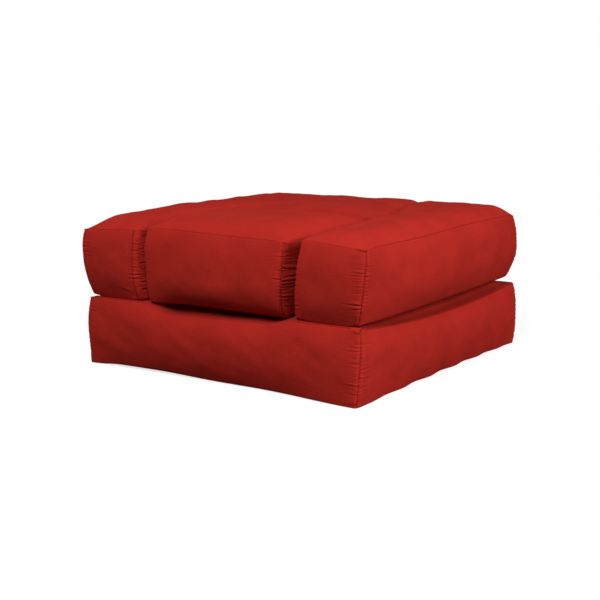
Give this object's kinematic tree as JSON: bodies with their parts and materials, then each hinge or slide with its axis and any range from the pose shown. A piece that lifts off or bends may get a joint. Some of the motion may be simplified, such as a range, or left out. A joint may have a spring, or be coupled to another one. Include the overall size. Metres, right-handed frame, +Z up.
{
  "type": "chair bed",
  "caption": "Low fabric chair bed: a square base cushion with a hinged horseshoe upper layer and a hinged centre cushion in its slot.",
  "frame": {"origin": "centre of the bounding box, at the underside that rests on the floor", "axes": "+Z up, +Y from the front edge with the bed hinges to the rear, +X to the right seen from the front"},
  "size_m": [0.95, 0.97, 0.432],
  "materials": {
    "cover_cloth": "matt woven cotton, red",
    "hinge_cloth": "matt woven cotton, red, doubled",
    "wadding": "white fibre",
    "foam": "open-cell foam, pale yellow"
  },
  "bodies": {
    "base": {"base_front_wall": "cover_cloth", "base_right_wall": "cover_cloth", "base_rear_wall": "cover_cloth", "base_left_wall": "cover_cloth", "base_top_panel": "cover_cloth", "base_bottom_panel": "cover_cloth", "base_top_wadding": "wadding", "base_foam_core": "foam", "left_hinge_base_flap": "hinge_cloth", "right_hinge_base_flap": "hinge_cloth"},
    "upper_layer": {"upper_left_arm_front": "cover_cloth", "upper_left_arm_inner_wall": "cover_cloth", "upper_slot_end_wall": "cover_cloth", "upper_right_arm_inner_wall": "cover_cloth", "upper_right_arm_front": "cover_cloth", "upper_right_wall": "cover_cloth", "upper_rear_wall": "cover_cloth", "upper_left_wall": "cover_cloth", "upper_top_panel": "cover_cloth", "upper_bottom_panel": "cover_cloth", "upper_top_wadding": "wadding", "upper_foam_core": "foam", "left_hinge_upper_flap": "hinge_cloth", "right_hinge_upper_flap": "hinge_cloth", "centre_hinge_bar_flap": "hinge_cloth"},
    "centre_cushion": {"centre_front_wall": "cover_cloth", "centre_right_wall": "cover_cloth", "centre_rear_wall": "cover_cloth", "centre_left_wall": "cover_cloth", "centre_top_panel": "cover_cloth", "centre_bottom_panel": "cover_cloth", "centre_top_wadding": "wadding", "centre_foam_core": "foam", "centre_hinge_seat_flap": "hinge_cloth"}
  },
  "joints": [
    {"name": "bed_fold", "type": "hinge", "parent": "base", "child": "upper_layer", "pos_m": [0, -0.4835, 0.216], "axis": [1, 0, 0], "range_deg": [0, 180]},
    {"name": "back_fold", "type": "hinge", "parent": "upper_layer", "child": "centre_cushion", "pos_m": [0, -0.01, 0.4305], "axis": [-1, 0, 0], "range_deg": [0, 180]}
  ]
}
